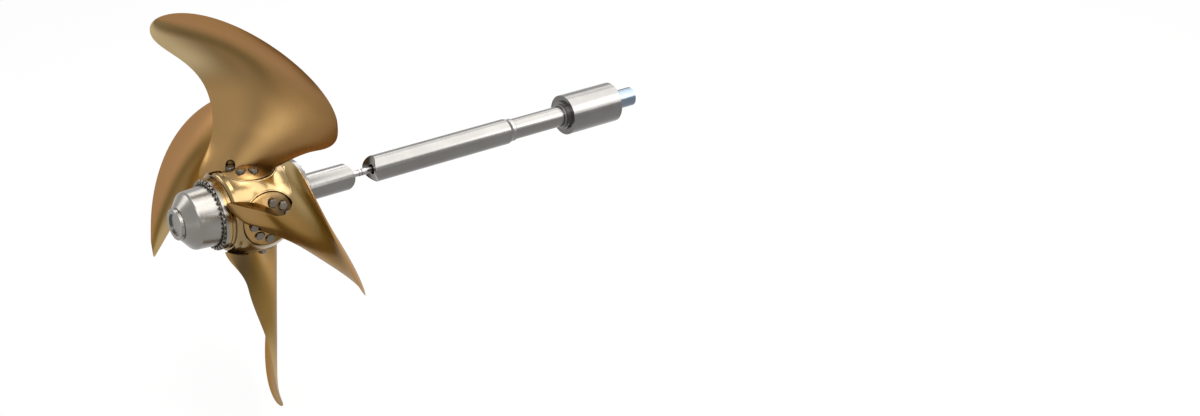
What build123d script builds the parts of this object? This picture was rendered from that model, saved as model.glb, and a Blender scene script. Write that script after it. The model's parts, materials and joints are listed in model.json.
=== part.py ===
from build123d import *
import math
import os

# Ship's controllable pitch propeller with its shafting, in millimetres.
# Four highly skewed blades turn on spindles in a barrel hub. A servo piston in the
# hub cap slides a yoke along the shaft axis, sliding blocks in the yoke carry the
# crank pins round, and the oil pipe in the bored shaft moves with the yoke.
# The shaft is shown broken open between its two lengths, as in a sectioned display.
#
# +X is forward along the shaft, +Y is to port, +Z is up and is the spindle of blade 1.
# Positions along the shaft are measured forward from the spindle plane while the
# pieces are made. The origin of the finished part is the centre of the shaft's
# forward end face.

# Running fits and seats
running_clearance = 0.08
loose_clearance = 0.3
thrust_clearance = 0.3

# Blades, each size given at the six radius fractions of blade_stations
blade_count = 4
propeller_radius = 2015.0
blade_stations = [0.22, 0.40, 0.58, 0.74, 0.88, 1.00]
blade_chords = [690.0, 1023.0, 1412.0, 1563.0, 1640.0, 1350.0]
blade_skews = [-14.0, 8.4, 8.4, -2.5, -14.9, -31.5]
blade_rakes = [-128.0, 123.0, 239.0, 135.0, -94.0, -320.0]
blade_pitches = [44.6, 40.2, 35.4, 28.4, 22.4, 13.7]
blade_thicknesses = [150.0, 106.0, 74.0, 48.0, 28.0, 14.0]
tip_roundness = 9
tip_chord = 180.0
edge_roundness = 0.8
camber_ratio = 0.02
section_fractions = [0.275, 0.34, 0.46, 0.60, 0.74, 0.88, 0.96, 0.993]
section_positions = [-1, -0.85, -0.5, 0, 0.5, 0.85, 1]
root_flare = 42.0
root_flare_fade = 0.03
blade_root_z = 425.0
blade_root_shift = 69.0

# Blade foot
palm_radius = 280.0
palm_top_radius = 487.0
palm_bottom_z = 330.0
blade_bolt_count = 6
blade_bolt_circle = 186.0
blade_bolt_spread = 38.0
blade_bolt_radius = 24.0
blade_bolt_flats = 80.0
blade_bolt_head = 44.0
blade_bolt_length = 165.0
pocket_floor_z = 427.0
pocket_radius = 50.0
pocket_height = 150.0

# Hub
hub_radius = 480.0
hub_shoulder_x = 280.0
hub_shoulder_radius = 420.0
hub_aft_x = -370.0
hub_rim_radius = 370.0
hub_rim_length = 32.0
hub_forward_x = 495.0
hub_collar_radius = 322.0
hub_chamber_radius = 296.0
hub_chamber_forward_x = 165.0
hub_pipe_bore = 70.0
port_clearance = 8.0
lip_bore = 212.0
lip_thickness = 29.4
bearing_ring_thickness = 7.0
bearing_ring_width = 27.0

# Crank discs, pins, sliding blocks and yoke
disc_radius = 240.0
disc_thickness = 42.0
disc_counterbore_clearance = 3.0
crank_radius = 105.0
crank_pin_radius = 32.0
crank_pin_end_z = 154.0
design_pitch_angle = 20.0
pitch_half_range = 25.0
linear_ratio = 0.976
block_size = 80.0
block_bottom_z = 152.0
block_top_z = 230.0
slot_clearance = 0.8
slot_end_clearance = 4.0
slot_floor_z = 150.0
yoke_face = 232.0
yoke_corner = 165.0
yoke_length = 172.0

# Servo piston and rod
rod_radius = 55.0
oil_bore = 24.0
piston_length = 110.0
piston_radius = 238.0
piston_ring_count = 2
piston_ring_width = 12.0
piston_ring_depth = 13.0
rod_nut_flats = 130.0
rod_nut_length = 30.0
rod_shoulder = 10.0

# Hub cap, which is also the servo cylinder
cap_flange_radius = 362.0
cap_flange_thickness = 32.0
cap_flange_aft_x = -435.0
cap_root_radius = 310.0
cap_root_fillet = 5.0
cap_shoulder_x = -662.0
cap_shoulder_radius = 295.0
cap_shoulder_round = 26.0
cap_end_x = -772.0
cap_end_radius = 172.0
cylinder_radius = 240.0
cylinder_end_x = -640.0
nut_recess_radius = 105.0
nut_recess_depth = 60.0
cap_bore = 60.0
cover_radius = 159.0
cover_thickness = 41.0
cover_recess_radius = 112.0
cover_recess_depth = 18.0
cover_spigot_length = 30.0
plug_radius = 14.0
plug_x = -640.0
plug_angle = 150.0
cap_bolt_count = 36
cap_bolt_circle = 338.0
cap_bolt_flats = 36.0
cap_bolt_head = 18.0
spigot_length = 25.0
rod_bush_wall = 7.0
rod_boss_radius = 100.0
rod_boss_length = 40.0
seal_ring_radius = 254.0
seal_ring_section = 6.0

# Shaft flange and shafts
shaft_radius = 141.5
shaft_bore = 55.0
shaft_flange_radius = 335.0
shaft_flange_thickness = 45.0
flange_spigot_radius = 120.0
flange_spigot_length = 24.0
flange_fillet = 80.0
flange_bolt_count = 24
flange_bolt_circle = 298.0
flange_bolt_flats = 36.0
flange_bolt_head = 20.0
stub_end_x = 1131.0
stub_break_wave = 24.0
stub_break_angle = 72.0
tail_start_x = 1434.0
tail_break_wave = 31.0
tail_break_angle = 165.0
tail_thick_end_x = 3145.0
tail_taper_end_x = 3185.0
tail_taper_radius = 128.0
journal_radius = 116.0
end_ring_length = 50.0
end_ring_radius = 126.0
coupling_aft_x = 3951.0
coupling_length = 694.0
coupling_forward_x = coupling_aft_x + coupling_length
shaft_joint_depth = 349.0
shaft_joint_x = coupling_aft_x + shaft_joint_depth
shaft_joint_gap = 20.0
forward_shaft_seat_radius = 110.0
forward_shaft_radius = 108.0
forward_shaft_length = 620.0
shaft_end_x = shaft_joint_x + shaft_joint_gap / 2 + forward_shaft_length

# Muff coupling
coupling_radius = 226.0
coupling_chamfer = 14.0
cone_aft_radius = 158.0
cone_forward_radius = 148.0
coupling_nut_radius = 164.0
coupling_nut_length = 30.0
coupling_nut_slots = 4
coupling_nut_slot_width = 26.0
coupling_nut_slot_depth = 10.0
coupling_seal_radius = 134.0
coupling_seal_length = 26.0

# Oil pipe and its guides
pipe_radius = 33.0
pipe_forward_radius = 29.0
pipe_joint_x = 1315.0
pipe_joint_length = 92.0
pipe_joint_flats = 72.0
pipe_joint_round = 37.0
pipe_end_setback = 60.0
guide_length = 40.0
aft_guide_positions = [640.0, 1060.0]
forward_guide_positions = [1520.0, 2900.0, 4120.0, 4820.0]


def station_value(values, fraction):
    """Value at a fraction of the propeller radius, on the smooth curve through the stations."""
    total = 0.0
    for i, value in enumerate(values):
        weight = 1.0
        for j, other in enumerate(blade_stations):
            if j != i:
                weight *= (fraction - other) / (blade_stations[i] - other)
        total += value * weight
    return total


def turned(corners):
    """Solid turned about the shaft axis from straight sides between (x, radius) corners."""
    outline = Polyline(*corners, close=True)
    return revolve(make_face(outline), Axis.X)


def tube(outer_radius, inner_radius, aft_x, forward_x):
    """Plain ring or pipe on the shaft axis."""
    return turned(
        [
            (aft_x, inner_radius),
            (forward_x, inner_radius),
            (forward_x, outer_radius),
            (aft_x, outer_radius),
        ]
    )


def spindle_cylinder(radius, bottom_z, top_z, x=0.0, y=0.0):
    """Upright cylinder, as the bores and discs about the spindle of blade 1 are."""
    height = top_z - bottom_z
    return Pos(x, y, bottom_z + height / 2) * Cylinder(radius, height)


def to_port(index, shape):
    """Moves a piece made for blade 1 to the port of another blade."""
    return Rot(360.0 / blade_count * index, 0, 0) * shape


def round_the_shaft(shape, count, start_angle=0.0):
    """Copies of a piece spaced evenly about the shaft axis."""
    return [Rot(start_angle + 360.0 / count * i, 0, 0) * shape for i in range(count)]


def hex_head(flats, height):
    """Plain hexagon head or nut standing on its seat at the origin."""
    return extrude(RegularPolygon(flats / 2, 6, major_radius=False), height)


def blade_point(fraction, along, across):
    """Point of the blade at a radius, a distance towards the leading edge and one forward."""
    radius = fraction * propeller_radius
    pitch = math.radians(station_value(blade_pitches, fraction))
    skew = math.radians(station_value(blade_skews, fraction))
    x = station_value(blade_rakes, fraction) + along * math.sin(pitch) + across * math.cos(pitch)
    turn = skew + (along * math.cos(pitch) - across * math.sin(pitch)) / radius
    return Vector(x, -radius * math.sin(turn), radius * math.cos(turn))


def flat_root_point(fraction, along, across, z):
    """The same point for the flat section that stands on the palm and overhangs the hub."""
    radius = fraction * propeller_radius
    pitch = math.radians(station_value(blade_pitches, fraction))
    skew = math.radians(station_value(blade_skews, fraction))
    x = station_value(blade_rakes, fraction) + along * math.sin(pitch) + across * math.cos(pitch)
    y = -(radius * skew + along * math.cos(pitch) - across * math.sin(pitch)) - blade_root_shift
    return Vector(x, y, z)


def blade_section(fraction, root_z=None):
    """Closed aerofoil outline at one radius, as a face side and a back side."""
    half_chord = station_value(blade_chords, fraction) / 2 * math.sqrt(1 - fraction**tip_roundness)
    flare = root_flare * math.exp(-(fraction - blade_stations[0]) / root_flare_fade)
    half_thickness = station_value(blade_thicknesses, fraction) / 2
    camber = camber_ratio * 2 * half_chord
    sides = []
    for side in (-1, 1):
        points = []
        for position in section_positions:
            fullness = (1 - position**2) ** edge_roundness
            across = (side * (half_thickness + flare) * fullness) + camber * (1 - position**2)
            along = position * half_chord
            if root_z is None:
                points.append(blade_point(fraction, along, across))
            else:
                points.append(flat_root_point(fraction, along, across, root_z))
        sides.append(Edge.make_spline(points))
    return Wire(sides)


def tip_section():
    """Short flat outline that closes the blade at its tip."""
    middle = blade_point(1.0, 0, 0)
    towards_edge = blade_point(1.0, 1, 0) - middle
    towards_bow = blade_point(1.0, 0, 1) - middle
    sides = []
    for side in (-1, 1):
        points = []
        for position in section_positions:
            fullness = (1 - position**2) ** edge_roundness
            across = side * blade_thicknesses[-1] / 2 * fullness
            points.append(middle + towards_edge * (position * tip_chord / 2) + towards_bow * across)
        sides.append(Edge.make_spline(points))
    return Wire(sides)


def blade_body():
    """Blade lofted from its flat root, let into the ball of the palm, to its tip."""
    sections = [blade_section(blade_stations[0], blade_root_z)]
    sections += [blade_section(fraction) for fraction in section_fractions]
    sections.append(tip_section())
    return Solid.make_loft(sections)


def blade_bolt_places():
    """Centres of the blade bolts, three on each side of the blade root."""
    root_angle = 90 - blade_pitches[0]
    per_side = blade_bolt_count // 2
    places = []
    for side in (-90, 90):
        for i in range(per_side):
            angle = math.radians(root_angle + side + blade_bolt_spread * (i - (per_side - 1) / 2))
            x = blade_bolt_circle * math.cos(angle)
            y = -blade_bolt_circle * math.sin(angle)
            places.append((x, y))
    return places


def blade():
    """Blade with its palm, whose top follows the ball of the hub, and its bolt pockets."""
    palm = spindle_cylinder(palm_radius, palm_bottom_z, palm_top_radius) & Sphere(palm_top_radius)
    solid = palm + blade_body()
    for x, y in blade_bolt_places():
        solid -= spindle_cylinder(pocket_radius, pocket_floor_z, pocket_floor_z + pocket_height, x, y)
        hole_radius = blade_bolt_radius + loose_clearance
        solid -= spindle_cylinder(hole_radius, palm_bottom_z - 5, pocket_floor_z + 5, x, y)
    return solid


def blade_bolts():
    """The bolts that hold one palm to its crank disc."""
    shank = Pos(0, 0, -blade_bolt_length / 2) * Cylinder(blade_bolt_radius, blade_bolt_length)
    bolt = hex_head(blade_bolt_flats, blade_bolt_head) + shank
    return [Pos(x, y, pocket_floor_z) * bolt for x, y in blade_bolt_places()]


def lip_bottom_z():
    return palm_bottom_z - thrust_clearance - lip_thickness


def disc_top_z():
    return lip_bottom_z() - bearing_ring_thickness - thrust_clearance


def disc_bottom_z():
    return disc_top_z() - disc_thickness


def crank_pin_place():
    """Centre of the crank pin at the design pitch."""
    angle = math.radians(design_pitch_angle)
    return crank_radius * math.sin(angle), -crank_radius * math.cos(angle)


def crank_disc():
    """Disc under the hub lip, with the boss that carries the palm and the crank pin."""
    disc = spindle_cylinder(disc_radius, disc_bottom_z(), disc_top_z())
    disc += spindle_cylinder(lip_bore - running_clearance, disc_top_z() - 5, palm_bottom_z)
    pin_x, pin_y = crank_pin_place()
    disc += spindle_cylinder(crank_pin_radius, crank_pin_end_z, disc_bottom_z() + 5, pin_x, pin_y)
    thread_bottom = pocket_floor_z - blade_bolt_length - 6
    for x, y in blade_bolt_places():
        hole_radius = blade_bolt_radius + loose_clearance
        disc -= spindle_cylinder(hole_radius, thread_bottom, palm_bottom_z + 5, x, y)
    return disc


def bearing_ring():
    """Thrust ring under the hub lip."""
    top = lip_bottom_z()
    bottom = top - bearing_ring_thickness
    outer = spindle_cylinder(lip_bore + bearing_ring_width, bottom, top)
    return outer - spindle_cylinder(lip_bore, bottom - 5, top + 5)


def sliding_block():
    """Square block that turns on the crank pin and slides in the yoke."""
    pin_x, pin_y = crank_pin_place()
    height = block_top_z - block_bottom_z
    block = Pos(pin_x, pin_y, block_bottom_z + height / 2) * Box(block_size, block_size, height)
    upright = [e for e in block.edges().filter_by(Axis.Z)]
    block = chamfer(upright, 6)
    bore_radius = crank_pin_radius + running_clearance
    return block - spindle_cylinder(bore_radius, block_bottom_z - 5, block_top_z + 5, pin_x, pin_y)


def yoke_centre_x():
    """Place of the yoke at the design pitch, on the straight line that stands for the crank."""
    return linear_ratio * crank_radius * math.radians(design_pitch_angle)


def yoke():
    """Eight-sided crosshead with a slot for each sliding block."""
    face, corner = yoke_face, yoke_corner
    corners = [(face, corner), (corner, face), (-corner, face), (-face, corner)]
    corners += [(-face, -corner), (-corner, -face), (corner, -face), (face, -corner)]
    outline = Plane.YZ * Polyline(*corners, close=True)
    body = Pos(yoke_centre_x() - yoke_length / 2, 0, 0) * extrude(make_face(outline), yoke_length)
    swing = math.radians(pitch_half_range)
    near_y = crank_radius * math.cos(swing) - block_size / 2 - slot_end_clearance
    far_y = crank_radius + block_size / 2 + slot_end_clearance
    slot_height = yoke_face - slot_floor_z + 10
    slot = Box(block_size + 2 * slot_clearance, far_y - near_y, slot_height)
    slot = Pos(yoke_centre_x(), -(near_y + far_y) / 2, slot_floor_z + slot_height / 2) * slot
    for i in range(blade_count):
        body -= to_port(i, slot)
    ends = (yoke_centre_x() - yoke_length / 2, yoke_centre_x() + yoke_length / 2)
    return body - tube_hole(oil_bore, ends[0] - 5, ends[1] + 5)


def tube_hole(radius, aft_x, forward_x):
    """Round hole along the shaft axis, as the solid to be cut away."""
    length = forward_x - aft_x
    return Pos(aft_x + length / 2, 0, 0) * Rot(0, 90, 0) * Cylinder(radius, length)


def cylinder_front_x():
    return cap_flange_aft_x + cap_flange_thickness


def piston_centre_x():
    """Middle of the cylinder, moved forward with the yoke to the design pitch."""
    return (cylinder_end_x + cylinder_front_x()) / 2 + yoke_centre_x()


def piston_ring_places():
    step = piston_length / (piston_ring_count + 1)
    first = piston_centre_x() - piston_length / 2
    return [first + step * (i + 1) for i in range(piston_ring_count)]


def piston():
    """Servo piston with its ring grooves, seated against the shoulder of the rod."""
    aft = piston_centre_x() - piston_length / 2
    forward = piston_centre_x() + piston_length / 2
    body = tube(piston_radius, rod_radius - rod_shoulder, aft, forward)
    for x in piston_ring_places():
        half = piston_ring_width / 2
        body -= tube(piston_radius + 5, piston_radius - piston_ring_depth, x - half, x + half)
    return body


def piston_rings():
    outer = cylinder_radius - running_clearance
    half = piston_ring_width / 2
    inner = piston_radius - piston_ring_depth
    return [tube(outer, inner, x - half, x + half) for x in piston_ring_places()]


def piston_rod():
    """Bored rod from the yoke to the nut behind the piston."""
    yoke_aft = yoke_centre_x() - yoke_length / 2
    shoulder = piston_centre_x() + piston_length / 2
    rod_end = piston_centre_x() - piston_length / 2 - rod_nut_length - 5
    neck = rod_radius - rod_shoulder
    corners = [(rod_end, oil_bore), (rod_end, neck), (shoulder, neck), (shoulder, rod_radius)]
    corners += [(yoke_aft, rod_radius), (yoke_aft, oil_bore)]
    return turned(corners)


def rod_nut():
    """Hexagon nut that holds the piston on the rod."""
    forward = piston_centre_x() - piston_length / 2
    nut = Rot(0, 90, 0) * hex_head(rod_nut_flats, rod_nut_length)
    nut = Pos(forward - rod_nut_length, 0, 0) * nut
    return nut - tube_hole(rod_radius - rod_shoulder, forward - rod_nut_length - 5, forward + 5)


def hub_body():
    """Barrel hub with four stepped ports, open aft for the yoke."""
    rim_forward = hub_aft_x + hub_rim_length
    shoulder_x, shoulder_r = hub_shoulder_x, hub_shoulder_radius
    collar_x = shoulder_x + 92
    neck_x = shoulder_x + 57
    outline = [
        Line((hub_aft_x, 0), (hub_aft_x, hub_rim_radius)),
        Line((hub_aft_x, hub_rim_radius), (rim_forward, hub_rim_radius)),
        ThreePointArc(
            (rim_forward, hub_rim_radius),
            (rim_forward + 6, shoulder_r - 26),
            (rim_forward + 26, shoulder_r - 9),
        ),
        Line((rim_forward + 26, shoulder_r - 9), (-shoulder_x, shoulder_r)),
        ThreePointArc((-shoulder_x, shoulder_r), (0, hub_radius), (shoulder_x, shoulder_r)),
        Line((shoulder_x, shoulder_r), (shoulder_x + 30, shoulder_r - 12)),
        ThreePointArc(
            (shoulder_x + 30, shoulder_r - 12),
            (shoulder_x + 50, shoulder_r - 28),
            (neck_x, shoulder_r - 52),
        ),
        ThreePointArc(
            (neck_x, shoulder_r - 52), (neck_x + 10, hub_collar_radius + 11), (collar_x, hub_collar_radius)
        ),
        Line((collar_x, hub_collar_radius), (hub_forward_x, hub_collar_radius)),
        Line((hub_forward_x, hub_collar_radius), (hub_forward_x, 0)),
        Line((hub_forward_x, 0), (hub_aft_x, 0)),
    ]
    body = revolve(make_face(outline), Axis.X)
    body -= tube_hole(hub_chamber_radius, hub_aft_x - 5, hub_chamber_forward_x)
    body -= tube_hole(hub_pipe_bore, hub_chamber_forward_x - 5, hub_forward_x + 5)
    body -= tube_hole(flange_spigot_radius, hub_forward_x - flange_spigot_length - 2, hub_forward_x + 5)
    seat_z = palm_bottom_z - thrust_clearance
    port = spindle_cylinder(palm_radius + port_clearance, seat_z, hub_radius + 50)
    port += spindle_cylinder(lip_bore, lip_bottom_z() - 5, seat_z + 5)
    counterbore = disc_radius + disc_counterbore_clearance
    port += spindle_cylinder(counterbore, hub_chamber_radius / 2, lip_bottom_z())
    for i in range(blade_count):
        body -= to_port(i, port)
    return body


def hub_cap():
    """Servo cylinder and hub cap in one casting, with a cone and a bolted flange."""
    front = cylinder_front_x()
    aft_face = cap_flange_aft_x
    root_fillet = cap_root_fillet
    outline = [
        Line((cap_end_x, 0), (cap_end_x, cap_end_radius)),
        Line((cap_end_x, cap_end_radius), (cap_shoulder_x - cap_shoulder_round, cap_shoulder_radius - 22)),
        ThreePointArc(
            (cap_shoulder_x - cap_shoulder_round, cap_shoulder_radius - 22),
            (cap_shoulder_x - 8, cap_shoulder_radius - 6),
            (cap_shoulder_x + 12, cap_shoulder_radius),
        ),
        Line((cap_shoulder_x + 12, cap_shoulder_radius), (aft_face - root_fillet, cap_root_radius)),
        Line((aft_face - root_fillet, cap_root_radius), (aft_face, cap_root_radius + root_fillet)),
        Line((aft_face, cap_root_radius + root_fillet), (aft_face, cap_flange_radius)),
        Line((aft_face, cap_flange_radius), (front, cap_flange_radius)),
        Line((front, cap_flange_radius), (front, 0)),
        Line((front, 0), (cap_end_x, 0)),
    ]
    body = revolve(make_face(outline), Axis.X)
    body -= tube_hole(cylinder_radius, cylinder_end_x, front + 5)
    body -= tube_hole(nut_recess_radius, cylinder_end_x - nut_recess_depth, cylinder_end_x + 5)
    body -= tube_hole(cap_bore, cap_end_x - 5, cylinder_end_x)
    ring_inner = seal_ring_radius - seal_ring_section
    body -= tube(seal_ring_radius, ring_inner, front - seal_ring_section, front + 5)
    body -= plug_solid(plug_radius)
    return body


def plug_solid(radius):
    """Drain plug set square into the side of the cap."""
    bottom = cap_shoulder_radius - 24
    top = cap_shoulder_radius + 12
    return Rot(plug_angle, 0, 0) * spindle_cylinder(radius, bottom, top, plug_x, 0)


def cap_plug():
    """Drain plug, trimmed just below the surface of the cap, with a hexagon key hole."""
    surface = cap_shoulder_radius - 2
    bottom = cap_shoulder_radius - 24
    plug = spindle_cylinder(plug_radius, bottom, surface, plug_x, 0)
    key = Pos(plug_x, 0, surface - 10) * extrude(RegularPolygon(7, 6), 12)
    return Rot(plug_angle, 0, 0) * (plug - key)


def cap_cover():
    """Round end cover with a shallow round recess and a spigot into the cap."""
    aft = cap_end_x - cover_thickness
    body = tube_hole(cover_radius, aft, cap_end_x)
    body = chamfer(body.edges().group_by(Axis.X)[0], 5)
    body += tube_hole(cap_bore - loose_clearance, cap_end_x - 5, cap_end_x + cover_spigot_length)
    return body - tube_hole(cover_recess_radius, aft - 5, aft + cover_recess_depth)


def cap_bolts():
    """Heads of the ring of bolts that hold the cap and the cylinder cover to the hub."""
    head = hex_head(cap_bolt_flats, cap_bolt_head)
    bolt = Pos(cap_flange_aft_x, 0, cap_bolt_circle) * Rot(0, -90, 0) * head
    return round_the_shaft(bolt, cap_bolt_count, 180.0 / cap_bolt_count)


def cylinder_cover():
    """Plate between the cap and the hub, with the boss that carries the rod bush."""
    aft = cylinder_front_x()
    bush = rod_radius + rod_bush_wall
    spigot = hub_chamber_radius - loose_clearance
    spigot_x = hub_aft_x + spigot_length
    boss_x = hub_aft_x + rod_boss_length
    corners = [(aft, bush), (aft, cap_flange_radius), (hub_aft_x, cap_flange_radius)]
    corners += [(hub_aft_x, spigot), (spigot_x, spigot), (spigot_x, rod_boss_radius)]
    corners += [(boss_x, rod_boss_radius), (boss_x, bush)]
    return turned(corners)


def rod_bush():
    """Bearing bush of the piston rod."""
    outer = rod_radius + rod_bush_wall
    inner = rod_radius + running_clearance
    return tube(outer, inner, cylinder_front_x(), hub_aft_x + rod_boss_length)


def cylinder_seal():
    """Seal ring between the cap flange and the cylinder cover."""
    front = cylinder_front_x()
    inner = seal_ring_radius - seal_ring_section
    return tube(seal_ring_radius, inner, front - seal_ring_section, front)


def break_cutter(middle_x, wave, angle, length):
    """Solid whose end is the saddle of a drawn shaft break, running aft or forward by length."""
    reach = shaft_radius * 1.6
    lift = wave * 2 * reach * reach / shaft_radius**2
    sections = []
    for u in (-reach, reach):
        corners = []
        for v in (-reach, reach):
            x = middle_x + lift * math.copysign(1, u * v)
            corners.append((x, u, v))
        far = middle_x + length
        corners += [(far, u, reach), (far, u, -reach)]
        sections.append(Wire.make_polygon(corners, close=True))
    cutter = Solid.make_loft(sections, ruled=True)
    return Rot(angle + 45, 0, 0) * cutter


def stub_shaft():
    """Aft length of the shaft, with the flange that bolts to the hub, broken off forward."""
    aft = hub_forward_x
    face = aft + shaft_flange_thickness
    spigot = flange_spigot_radius - loose_clearance
    spigot_x = aft - flange_spigot_length
    foot = shaft_radius + 44
    end = stub_end_x + 4 * stub_break_wave
    outline = [
        Line((spigot_x, 0), (spigot_x, spigot)),
        Line((spigot_x, spigot), (aft, spigot)),
        Line((aft, spigot), (aft, shaft_flange_radius)),
        Line((aft, shaft_flange_radius), (face, shaft_flange_radius)),
        Line((face, shaft_flange_radius), (face, foot)),
        ThreePointArc(
            (face, foot),
            (face + flange_fillet * 0.35, shaft_radius + 10),
            (face + flange_fillet, shaft_radius),
        ),
        Line((face + flange_fillet, shaft_radius), (end, shaft_radius)),
        Line((end, shaft_radius), (end, 0)),
        Line((end, 0), (spigot_x, 0)),
    ]
    body = revolve(make_face(outline), Axis.X)
    body -= tube_hole(shaft_bore, spigot_x - 5, end + 5)
    return body - break_cutter(stub_end_x, stub_break_wave, stub_break_angle, 300)


def flange_bolts():
    """Heads of the bolts that hold the shaft flange to the hub."""
    face = hub_forward_x + shaft_flange_thickness
    head = hex_head(flange_bolt_flats, flange_bolt_head)
    bolt = Pos(face, 0, flange_bolt_circle) * Rot(0, 90, 0) * head
    return round_the_shaft(bolt, flange_bolt_count)


def tail_shaft():
    """Long forward length of the shaft, from the break to the coupling."""
    start = tail_start_x - 4 * tail_break_wave
    end = shaft_joint_x - shaft_joint_gap / 2
    corners = [(start, 0), (start, shaft_radius), (tail_thick_end_x, shaft_radius)]
    corners += [(tail_taper_end_x, tail_taper_radius), (tail_taper_end_x, journal_radius)]
    corners += [(end, journal_radius), (end, 0)]
    body = turned(corners)
    body -= tube_hole(shaft_bore, start - 5, end + 5)
    return body - break_cutter(tail_start_x, tail_break_wave, tail_break_angle, -300)


def shaft_end_ring():
    """Ring that closes the end of the thick shaft."""
    forward = tail_taper_end_x + end_ring_length
    edge = end_ring_radius - 4
    corners = [(tail_taper_end_x, journal_radius), (tail_taper_end_x, end_ring_radius)]
    corners += [(forward - 6, end_ring_radius), (forward, edge), (forward, journal_radius)]
    return turned(corners)


def forward_shaft():
    """Shaft forward of the coupling, which drives the whole line."""
    start = shaft_joint_x + shaft_joint_gap / 2
    seat, plain, seat_end = forward_shaft_seat_radius, forward_shaft_radius, coupling_forward_x
    corners = [(start, shaft_bore), (start, seat), (seat_end, seat), (seat_end, plain)]
    corners += [(shaft_end_x, plain), (shaft_end_x, shaft_bore)]
    return turned(corners)


def coupling_sleeve():
    """Outer sleeve of the muff coupling, bored to the cone of the inner sleeve."""
    aft, forward, edge = coupling_aft_x, coupling_forward_x, coupling_chamfer
    corners = [(aft, cone_aft_radius), (aft, coupling_radius - edge / 3), (aft + edge / 3, coupling_radius)]
    corners += [(forward - edge, coupling_radius), (forward, coupling_radius - edge)]
    corners += [(forward, cone_forward_radius)]
    return turned(corners)


def coupling_inner_sleeve():
    """Slim cone sleeve that grips both shaft ends."""
    aft, forward = coupling_aft_x, coupling_forward_x
    corners = [(aft, journal_radius), (aft, cone_aft_radius), (forward, cone_forward_radius)]
    corners += [(forward, forward_shaft_seat_radius), (shaft_joint_x, forward_shaft_seat_radius)]
    corners += [(shaft_joint_x, journal_radius)]
    return turned(corners)


def coupling_nut():
    """Slotted ring nut on the aft end of the inner sleeve."""
    aft = coupling_aft_x - coupling_nut_length
    nut = tube(coupling_nut_radius, journal_radius, aft, coupling_aft_x)
    depth = coupling_nut_slot_depth
    slot = Box(coupling_nut_length + 10, coupling_nut_slot_width, depth * 2)
    slot = Pos(aft + coupling_nut_length / 2, 0, coupling_nut_radius) * slot
    return nut - round_the_shaft(slot, coupling_nut_slots, 30)


def coupling_seal():
    """Seal ring between the coupling nut and the shaft."""
    forward = coupling_aft_x - coupling_nut_length
    aft = forward - coupling_seal_length
    corners = [(aft, journal_radius), (aft, coupling_seal_radius - 5), (aft + 5, coupling_seal_radius)]
    corners += [(forward, coupling_seal_radius), (forward, journal_radius)]
    return turned(corners)


def pipe_joint_aft_x():
    return pipe_joint_x - pipe_joint_length / 2


def pipe_joint_forward_x():
    return pipe_joint_x + pipe_joint_length / 2


def oil_pipe_aft():
    """Oil pipe from the yoke to the pipe joint in the break."""
    start = yoke_centre_x() + yoke_length / 2
    return tube(pipe_radius, oil_bore, start, pipe_joint_aft_x())


def oil_pipe_joint():
    """Hexagon union between the two lengths of the oil pipe."""
    aft, forward = pipe_joint_aft_x(), pipe_joint_forward_x()
    hex_length = pipe_joint_length * 0.3
    body = Pos(aft, 0, 0) * Rot(0, 90, 0) * hex_head(pipe_joint_flats, hex_length)
    body += tube_hole(pipe_joint_round - 6, aft + hex_length - 5, aft + hex_length + 9)
    body += tube_hole(pipe_joint_round, aft + hex_length + 9, forward)
    return body - tube_hole(oil_bore, aft - 5, forward + 5)


def oil_pipe_forward():
    """Oil pipe from the pipe joint to just inside the forward end of the shaft."""
    return tube(pipe_forward_radius, oil_bore, pipe_joint_forward_x(), shaft_end_x - pipe_end_setback)


def pipe_guides(positions, outer_pipe_radius):
    """Guide rings in the shaft bore that carry the oil pipe."""
    half = guide_length / 2
    inner = outer_pipe_radius + running_clearance
    return [tube(shaft_bore, inner, x - half, x + half) for x in positions]


def save(name, pieces):
    """Writes one node, placed from the spindle plane to the part's own origin."""
    if not isinstance(pieces, list):
        pieces = [pieces]
    solids = []
    for piece in pieces:
        solids += piece.solids()
    placed = [Pos(-shaft_end_x, 0, 0) * solid for solid in solids]
    shape = placed[0] if len(placed) == 1 else Compound(children=placed)
    export_step(shape, "parts/" + name + ".step")


os.makedirs("parts", exist_ok=True)

save("hub_body", hub_body())
save("hub_cap", hub_cap())
save("cap_cover", cap_cover())
save("cap_plug", cap_plug())
save("cap_bolts", cap_bolts())
save("cylinder_cover", cylinder_cover())
save("cylinder_seal", cylinder_seal())
save("rod_bush", rod_bush())
save("shaft_stub", stub_shaft())
save("shaft_flange_bolts", flange_bolts())
save("tail_shaft", tail_shaft())
save("shaft_end_ring", shaft_end_ring())
save("forward_shaft", forward_shaft())
save("coupling_sleeve", coupling_sleeve())
save("coupling_inner_sleeve", coupling_inner_sleeve())
save("coupling_nut", coupling_nut())
save("coupling_seal", coupling_seal())
save("pipe_guides_aft", pipe_guides(aft_guide_positions, pipe_radius))
save("pipe_guides_forward", pipe_guides(forward_guide_positions, pipe_forward_radius))
save("yoke", yoke())
save("piston_rod", piston_rod())
save("piston", piston())
save("piston_rings", piston_rings())
save("piston_rod_nut", rod_nut())
save("oil_pipe_aft", oil_pipe_aft())
save("oil_pipe_joint", oil_pipe_joint())
save("oil_pipe_forward", oil_pipe_forward())

one_blade = blade()
one_bolt_set = blade_bolts()
one_disc = crank_disc()
one_block = sliding_block()
one_ring = bearing_ring()
for i in range(blade_count):
    number = str(i + 1)
    save("blade_" + number, to_port(i, one_blade))
    save("blade_bolts_" + number, [to_port(i, bolt) for bolt in one_bolt_set])
    save("crank_disc_" + number, to_port(i, one_disc))
    save("sliding_block_" + number, to_port(i, one_block))
    save("blade_bearing_ring_" + number, to_port(i, one_ring))
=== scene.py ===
import json
import math

import bmesh
import bpy
from mathutils import Matrix, Vector
from mathutils.bvhtree import BVHTree

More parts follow.
